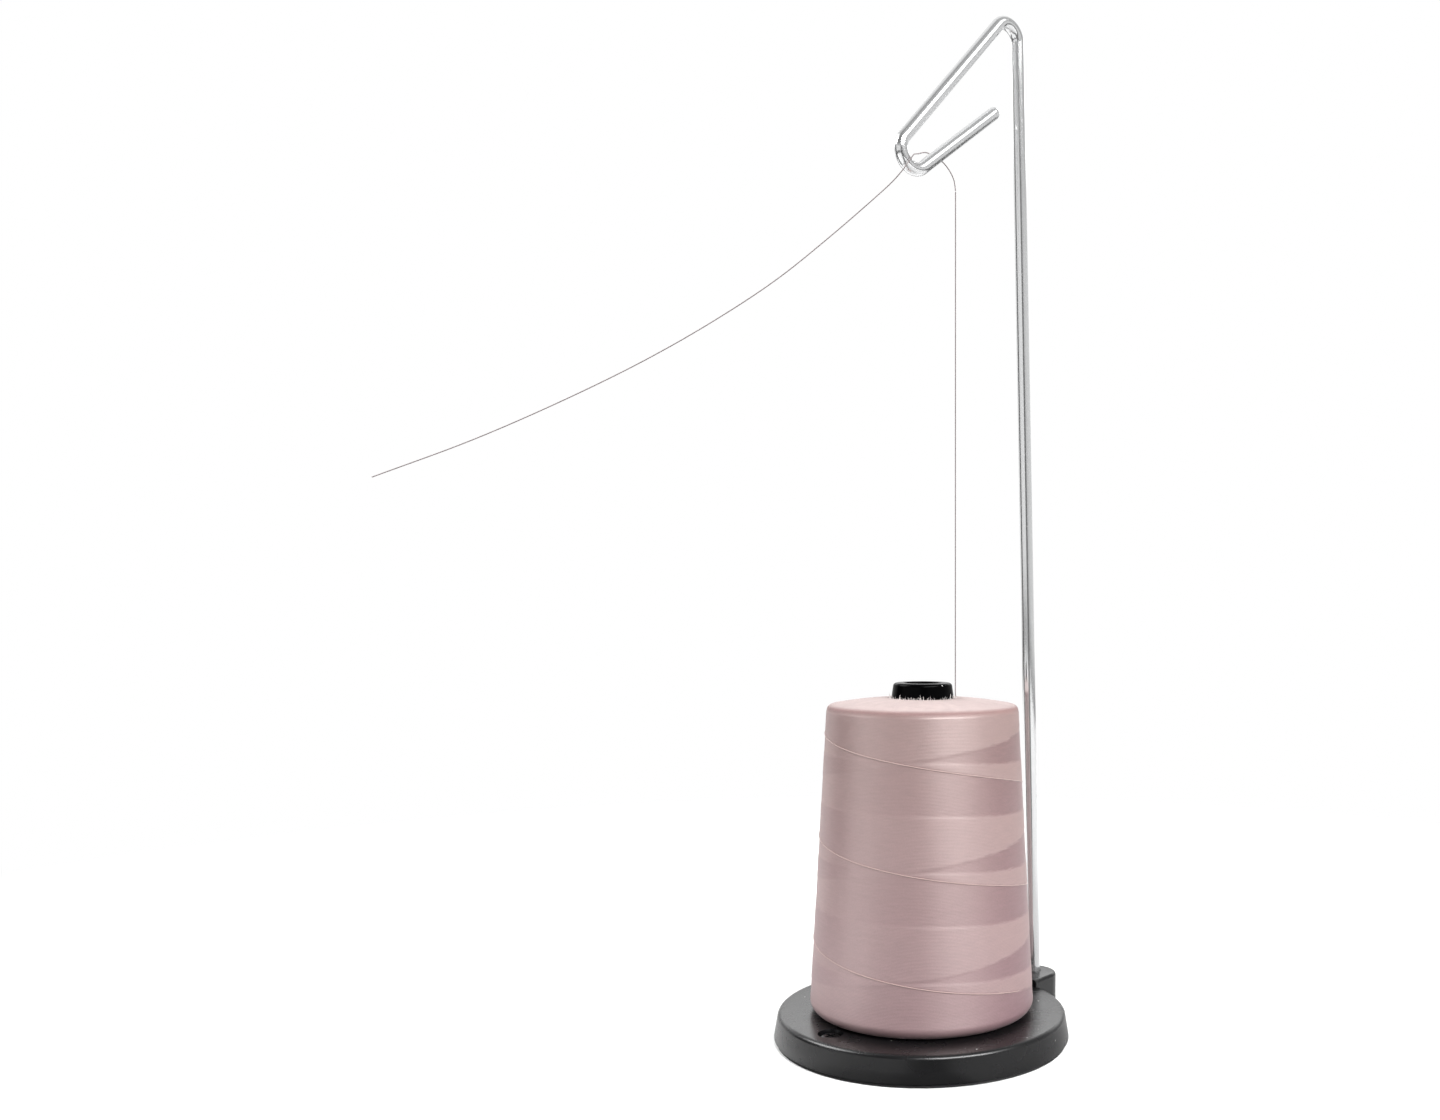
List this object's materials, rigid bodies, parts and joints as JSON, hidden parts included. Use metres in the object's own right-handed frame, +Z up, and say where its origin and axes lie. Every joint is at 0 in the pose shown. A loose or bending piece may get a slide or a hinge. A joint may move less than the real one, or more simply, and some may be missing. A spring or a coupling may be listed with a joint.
{
  "type": "thread spool stand",
  "caption": "Weighted round black base with a cone of pink sewing thread on a turning seat and a tall hooked wire that guides the thread.",
  "frame": {"origin": "middle of the round base on its underside, where the cone's axis meets the table", "axes": "+Z up along the cone's axis, +X from that axis towards the foot of the hooked wire guide"},
  "size_m": [0.1981, 0.1573, 0.3422],
  "materials": {
    "pad": "matte",
    "base_plastic": "satin gloss",
    "cover_plastic": "matte",
    "ballast_iron": "rough",
    "screw_steel": "black oxide",
    "zinc_steel": "bright zinc",
    "wire_chrome": "polished",
    "nylon": "natural",
    "cone_plastic": "satin gloss",
    "pink_thread": "satin thread"
  },
  "bodies": {
    "stand": {"non_slip_pad": "pad", "bottom_cover": "cover_plastic", "ballast_disc": "ballast_iron", "base_shell": "base_plastic", "cover_screw_1": "screw_steel", "cover_screw_2": "screw_steel", "spindle_nut": "zinc_steel", "spindle_lock_washer": "zinc_steel", "spindle": "zinc_steel", "thrust_washer": "nylon", "retaining_ring": "screw_steel", "hooked_wire": "wire_chrome", "wire_washer": "zinc_steel", "wire_nut": "zinc_steel", "thread_up": "pink_thread", "thread_away": "pink_thread"},
    "seat": {"cone_seat": "cone_plastic"},
    "cone": {"cone_core": "cone_plastic", "thread_winding": "pink_thread", "outer_turns": "pink_thread"}
  },
  "joints": [
    {"name": "seat_spin", "type": "hinge", "parent": "stand", "child": "seat", "pos_m": [0, 0, 0.05], "axis": [0, 0, 1], "continuous": true},
    {"name": "cone_lift", "type": "slide", "parent": "seat", "child": "cone", "axis": [0, 0, 1], "range_m": [0, 0.1], "deforming": ["thread_up"]}
  ]
}
